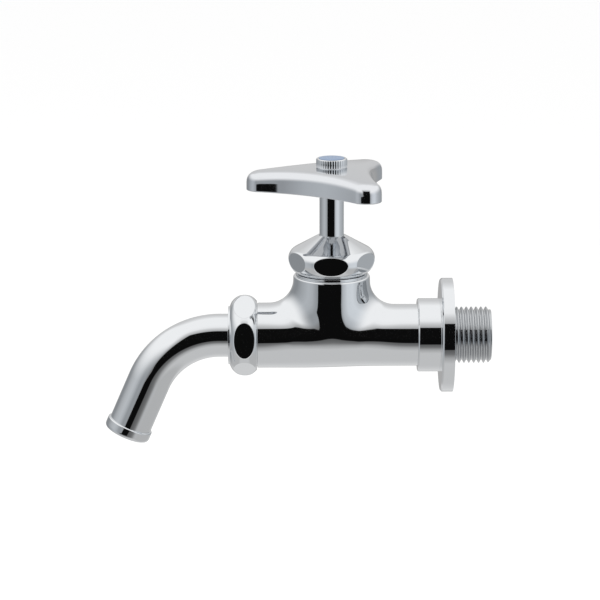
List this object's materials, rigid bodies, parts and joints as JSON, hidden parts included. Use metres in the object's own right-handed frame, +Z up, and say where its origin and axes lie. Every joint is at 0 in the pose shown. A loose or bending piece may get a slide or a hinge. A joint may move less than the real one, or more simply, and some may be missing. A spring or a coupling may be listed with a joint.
{
  "type": "garden tap",
  "caption": "Wall-mounted garden tap with a screw-down valve, three-armed handle, threaded tail with a round wall flange, and a bent tube spout that swings.",
  "frame": {"origin": "centre of the wall face (back of the flange) on the tail's axis", "axes": "+X along the tail into the wall, the spout leaves towards -X, +Z up along the valve stem"},
  "size_m": [0.1444, 0.0559, 0.1085],
  "materials": {
    "chrome_body": "polished chrome plate on cast brass",
    "chrome_turned": "polished chrome plate on turned brass",
    "chrome_stem": "polished chrome plate on turned brass",
    "chrome_handle": "chrome plate on a cast handle",
    "chrome_tube": "polished chrome plate on brass tube",
    "brass": "plain turned",
    "rubber": "moulded matt",
    "white_plastic": "moulded",
    "blue_plastic": "smooth"
  },
  "bodies": {
    "root": {"tap_body": "chrome_body", "wall_flange": "chrome_turned", "cap_nut": "chrome_turned", "packing_washer": "brass", "gland_packing": "rubber", "spout_nut": "chrome_turned", "spout_slip_ring": "white_plastic", "spout_seal": "rubber"},
    "jumper": {"jumper_valve": "brass", "jumper_washer": "rubber", "jumper_nut": "brass"},
    "stem": {"spindle": "chrome_stem", "handle": "chrome_handle", "handle_screw": "chrome_turned", "colour_index": "blue_plastic"},
    "spout": {"spout_pipe": "chrome_tube", "spout_mouth_ring": "chrome_tube", "spout_retaining_ring": "brass"}
  },
  "joints": [
    {"name": "valve_lift", "type": "slide", "parent": "root", "child": "jumper", "axis": [0, 0, 1], "range_m": [0, 0.00626]},
    {"name": "handle_turn", "type": "hinge", "parent": "jumper", "child": "stem", "pos_m": [-0.045, 0, 0], "axis": [0, 0, 1], "range_deg": [0, 900]},
    {"name": "spout_swivel", "type": "hinge", "parent": "root", "child": "spout", "pos_m": [0, 0, 0], "axis": [1, 0, 0], "continuous": true}
  ],
  "couplings": [
    {"joint": "valve_lift", "follows": "handle_turn", "m_per_rad": 0.00039789}
  ]
}
